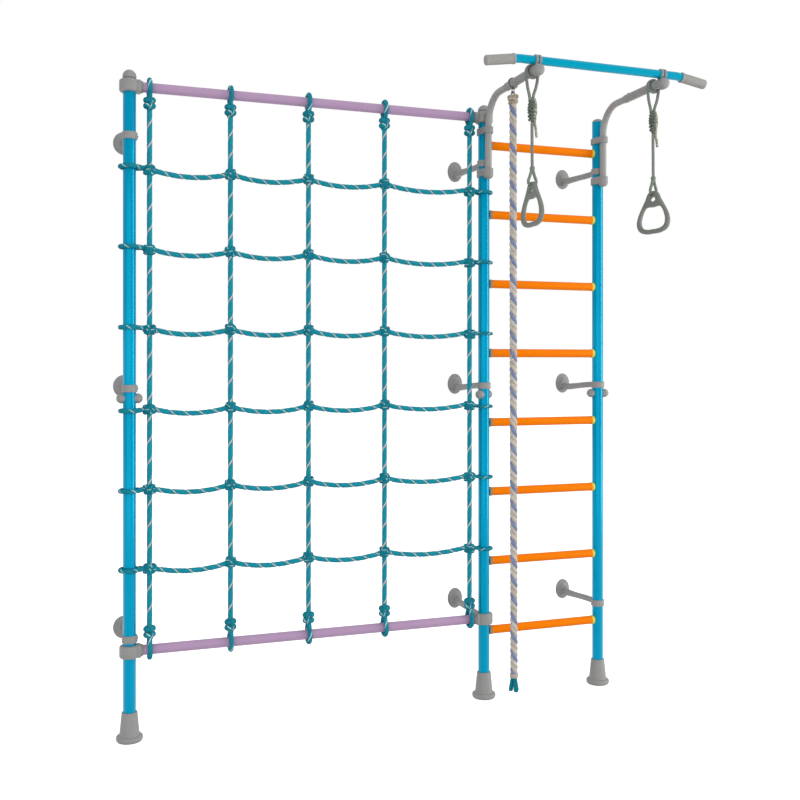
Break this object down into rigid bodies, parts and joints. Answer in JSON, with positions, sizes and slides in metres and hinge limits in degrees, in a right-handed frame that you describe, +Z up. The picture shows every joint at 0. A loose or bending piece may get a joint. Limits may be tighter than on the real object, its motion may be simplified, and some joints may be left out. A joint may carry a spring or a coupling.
{
  "type": "wall bars with a climbing net",
  "caption": "Home wall bars: steel posts on a wall with a ladder of rungs, a knotted climbing net, a pull-up bar, two rings and a climbing rope.",
  "frame": {"origin": "on the floor, at the centre of the middle post's foot", "axes": "+X along the wall towards the ladder, +Y to the wall, +Z up"},
  "size_m": [1.9912, 0.7576, 2.272],
  "materials": {
    "blue_enamel": "satin powder coat",
    "grey_enamel": "satin powder coat",
    "grey_plastic": "moulded, satin",
    "purple_enamel": "satin powder coat",
    "orange_enamel": "fine non-slip texture",
    "grip_rubber": "ribbed, matt",
    "ring_plastic": "moulded, fine grain",
    "net_rope": "laid rope with a light tracer strand",
    "grey_rope": "braided cord",
    "climbing_rope": "laid rope, cream and blue strands",
    "zinc_wire": "zinc plated"
  },
  "bodies": {
    "frame": {"post_left_lower": "blue_enamel", "post_left_upper": "blue_enamel", "foot_left": "grey_plastic", "cap_left": "grey_plastic", "joint_bolt_left": "grey_plastic", "post_middle_lower": "blue_enamel", "post_middle_upper": "blue_enamel", "foot_middle": "grey_plastic", "cap_middle": "grey_plastic", "joint_bolt_middle": "grey_plastic", "post_right_lower": "blue_enamel", "post_right_upper": "blue_enamel", "foot_right": "grey_plastic", "cap_right": "grey_plastic", "joint_bolt_right": "grey_plastic", "net_bar_top": "purple_enamel", "net_clamp_top_left": "grey_plastic", "net_clamp_top_middle": "grey_plastic", "net_bar_bottom": "purple_enamel", "net_clamp_bottom_left": "grey_plastic", "net_clamp_bottom_middle": "grey_plastic", "wall_bracket_top_left": "grey_plastic", "wall_bracket_top_middle": "grey_plastic", "wall_bracket_top_right": "grey_plastic", "wall_bracket_middle_left": "grey_plastic", "wall_bracket_middle_middle": "grey_plastic", "wall_bracket_middle_right": "grey_plastic", "wall_bracket_bottom_left": "grey_plastic", "wall_bracket_bottom_middle": "grey_plastic", "wall_bracket_bottom_right": "grey_plastic", "rung_1": "orange_enamel", "rung_2": "orange_enamel", "rung_3": "orange_enamel", "rung_4": "orange_enamel", "rung_5": "orange_enamel", "rung_6": "orange_enamel", "rung_7": "orange_enamel", "rung_8": "orange_enamel", "arm_left": "grey_enamel", "arm_clamp_upper_left": "grey_plastic", "arm_clamp_lower_left": "grey_plastic", "bar_holder_left": "grey_plastic", "grip_left": "grip_rubber", "arm_right": "grey_enamel", "arm_clamp_upper_right": "grey_plastic", "arm_clamp_lower_right": "grey_plastic", "bar_holder_right": "grey_plastic", "grip_right": "grip_rubber", "pull_up_bar": "blue_enamel", "climbing_net": "net_rope"},
    "left_sling": {"ring_sling_left": "grey_rope"},
    "left_cord": {"ring_cord_left": "grey_rope"},
    "left_ring_body": {"ring_left": "ring_plastic"},
    "right_sling": {"ring_sling_right": "grey_rope"},
    "right_cord": {"ring_cord_right": "grey_rope"},
    "right_ring_body": {"ring_right": "ring_plastic"},
    "hook": {"rope_hook": "zinc_wire"},
    "rope": {"climbing_rope": "climbing_rope", "rope_crown": "grey_plastic", "rope_end": "net_rope"}
  },
  "joints": [
    {"name": "left_sling_swing", "type": "hinge", "parent": "frame", "child": "left_sling", "pos_m": [0, -0.395, 2.226], "axis": [0, 1, 0], "range_deg": [-60, 60]},
    {"name": "left_cord_swing", "type": "hinge", "parent": "left_sling", "child": "left_cord", "pos_m": [0, -0.395, 2.0497], "axis": [-1, 0, 0], "range_deg": [-4, 60]},
    {"name": "left_ring_swing", "type": "hinge", "parent": "left_cord", "child": "left_ring_body", "pos_m": [0, -0.395, 1.8464], "axis": [-0.9994, -0.0349, 0], "range_deg": [-20, 60]},
    {"name": "right_sling_swing", "type": "hinge", "parent": "frame", "child": "right_sling", "pos_m": [0.485, -0.378, 2.226], "axis": [0, 1, 0], "range_deg": [-60, 60]},
    {"name": "right_cord_swing", "type": "hinge", "parent": "right_sling", "child": "right_cord", "pos_m": [0.485, -0.378, 2.0497], "axis": [-1, 0, 0], "range_deg": [-40, 60]},
    {"name": "right_ring_swing", "type": "hinge", "parent": "right_cord", "child": "right_ring_body", "pos_m": [0.485, -0.378, 1.8464], "axis": [-0.9816, -0.1908, 0], "range_deg": [-45, 60]},
    {"name": "hook_swing", "type": "hinge", "parent": "frame", "child": "hook", "pos_m": [0, -0.248, 2.226], "axis": [0, -1, 0], "range_deg": [-60, 60]},
    {"name": "rope_swing", "type": "hinge", "parent": "hook", "child": "rope", "pos_m": [0, -0.248, 2.194], "axis": [-1, 0, 0], "range_deg": [-5, 6]}
  ]
}
